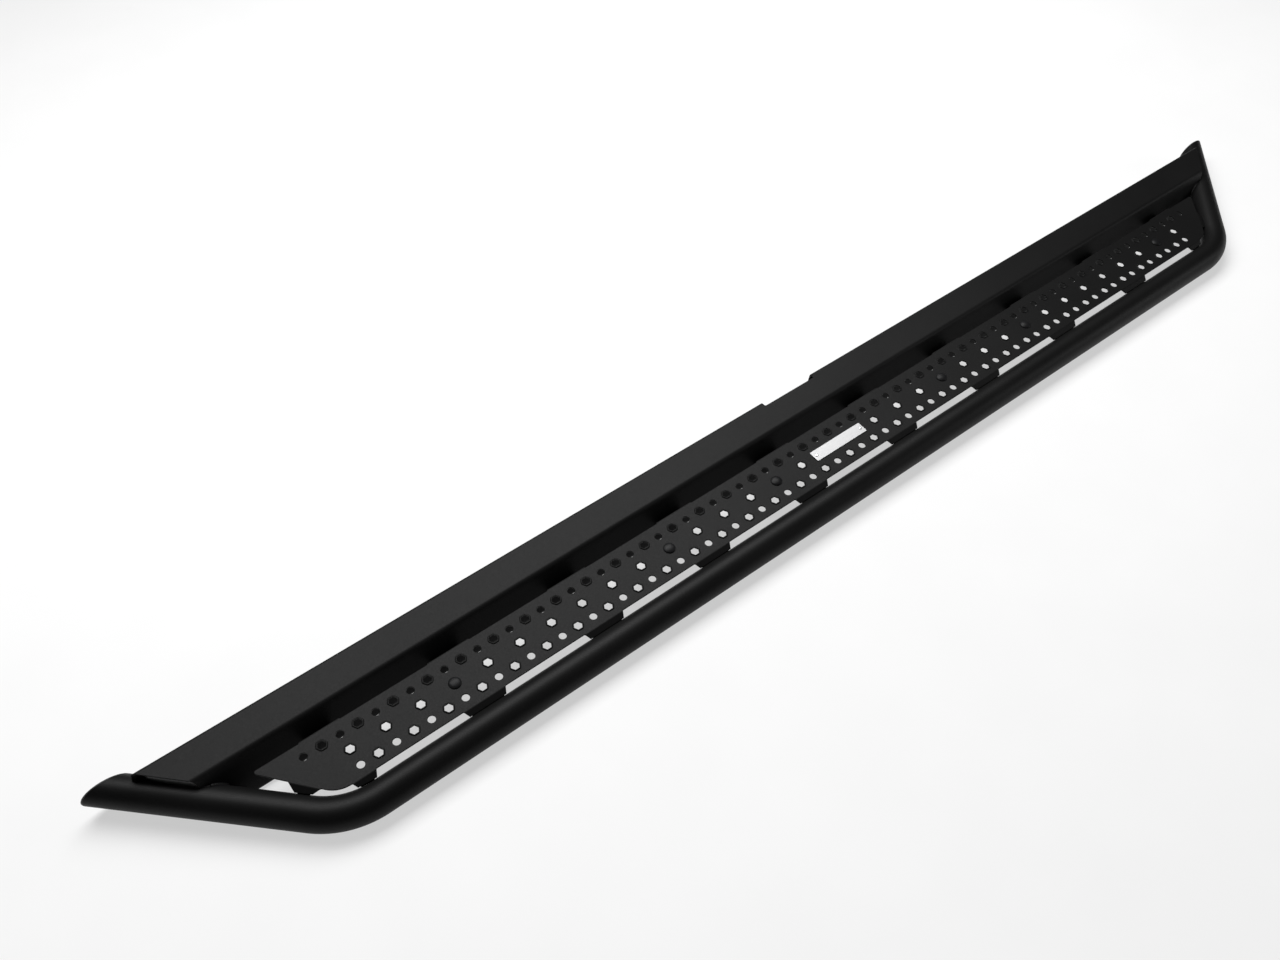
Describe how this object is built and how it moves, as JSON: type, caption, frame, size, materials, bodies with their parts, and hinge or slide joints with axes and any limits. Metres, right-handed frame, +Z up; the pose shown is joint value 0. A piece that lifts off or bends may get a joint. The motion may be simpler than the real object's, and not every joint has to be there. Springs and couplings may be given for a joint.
{
  "type": "running board",
  "caption": "Black powder-coated steel running board with a bent round outer tube, a perforated step plate and a slotted rear channel for vehicle brackets.",
  "frame": {"origin": "middle of the footprint, on the floor that the board lies on", "axes": "+X along the vehicle, +Y towards the vehicle, +Z up. The board lies as it rests on a floor, on the underside of its tube and the lower front fold of its channel, so the step plate rises 4.13 degrees towards +Y"},
  "size_m": [2.2572, 0.2344, 0.0675],
  "materials": {
    "steel_powder_coat": "fine-textured black powder coat, satin",
    "plug_plastic": "fine-grained black",
    "bolt_black_zinc": "black zinc plated, satin",
    "zinc_plate": "bright zinc",
    "badge_aluminium": "brushed, blank"
  },
  "bodies": {
    "root": {"outer_tube": "steel_powder_coat", "step_plate": "steel_powder_coat", "rear_channel": "steel_powder_coat", "end_cap_left": "plug_plastic", "end_cap_right": "plug_plastic", "cap_screw_left": "zinc_plate", "cap_screw_right": "zinc_plate", "badge_plate": "badge_aluminium", "badge_rivet_left": "zinc_plate", "badge_rivet_right": "zinc_plate", "plate_bolt_1": "bolt_black_zinc", "plate_bolt_2": "bolt_black_zinc", "plate_bolt_3": "bolt_black_zinc", "plate_bolt_4": "bolt_black_zinc", "plate_bolt_5": "bolt_black_zinc", "plate_bolt_6": "bolt_black_zinc", "plate_nut_1": "bolt_black_zinc", "plate_nut_2": "bolt_black_zinc", "plate_nut_3": "bolt_black_zinc", "plate_nut_4": "bolt_black_zinc", "plate_nut_5": "bolt_black_zinc", "plate_nut_6": "bolt_black_zinc"}
  },
  "joints": []
}
